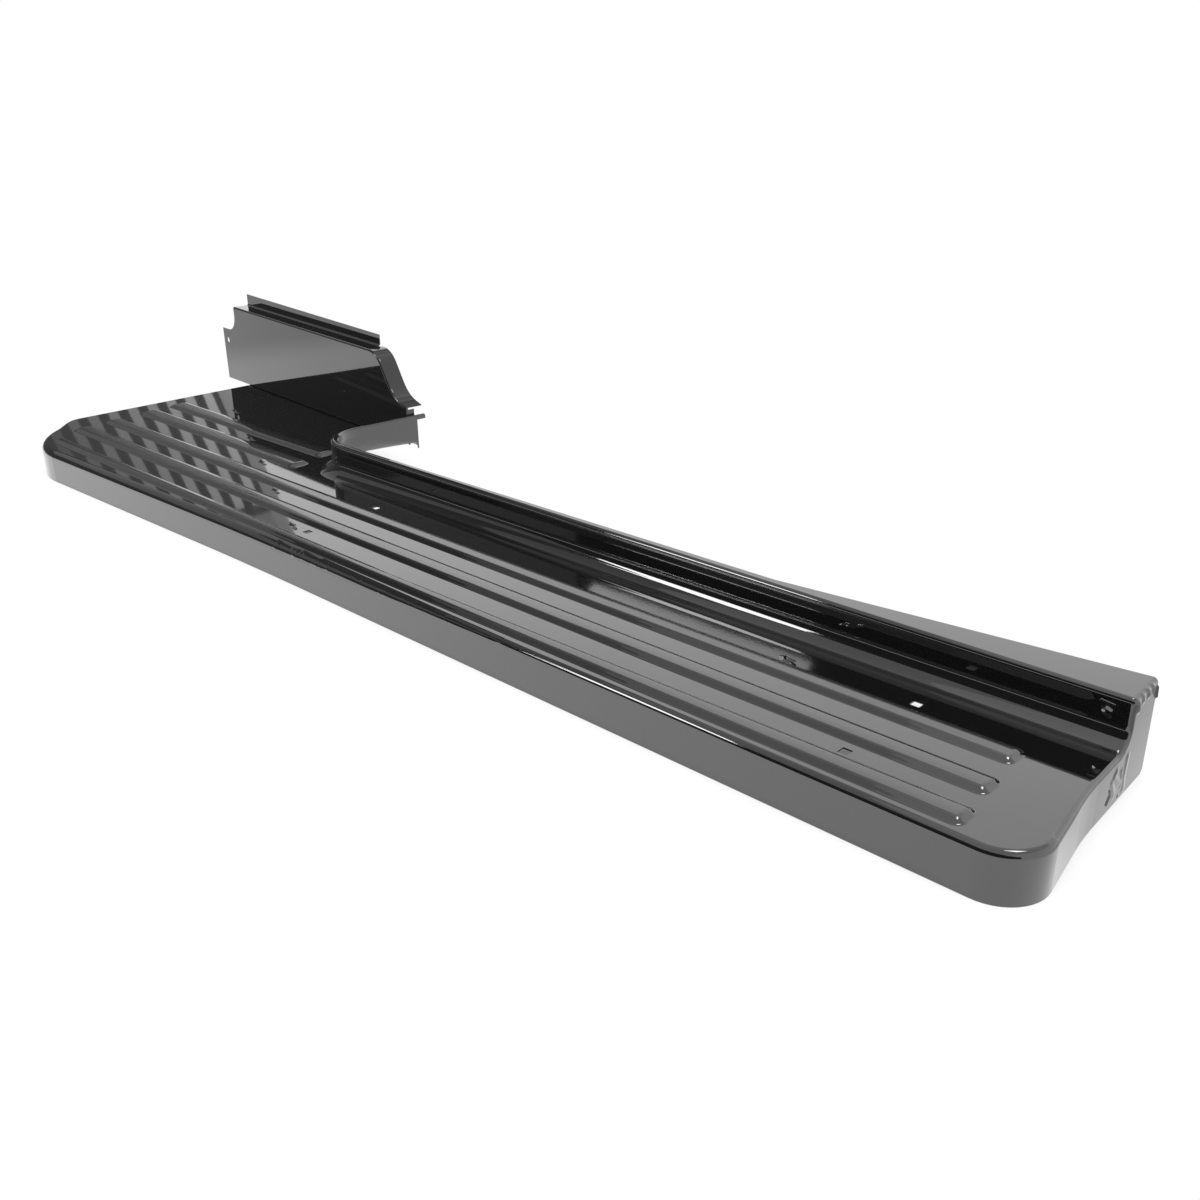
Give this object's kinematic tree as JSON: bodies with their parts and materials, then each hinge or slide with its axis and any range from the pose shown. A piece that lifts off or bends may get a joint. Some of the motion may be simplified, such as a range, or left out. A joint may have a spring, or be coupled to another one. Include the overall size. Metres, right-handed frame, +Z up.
{
  "type": "running board",
  "caption": "Pressed steel running board with a ribbed tread, a rolled skirt, a raised wall with a ledge, a wide panel behind the cab and an upright splash apron with a stepped flange.",
  "frame": {"origin": "below the middle of the whole part, on the plane of the skirt's lower edges that it stands on", "axes": "+X forward along the vehicle, +Y inboard, away from the skirt and towards the cab, +Z up"},
  "size_m": [1.9416, 0.5078, 0.2195],
  "materials": {
    "board_paint": "gloss",
    "apron_paint": "gloss"
  },
  "bodies": {
    "root": {"step_board": "board_paint", "splash_apron": "apron_paint"}
  },
  "joints": []
}
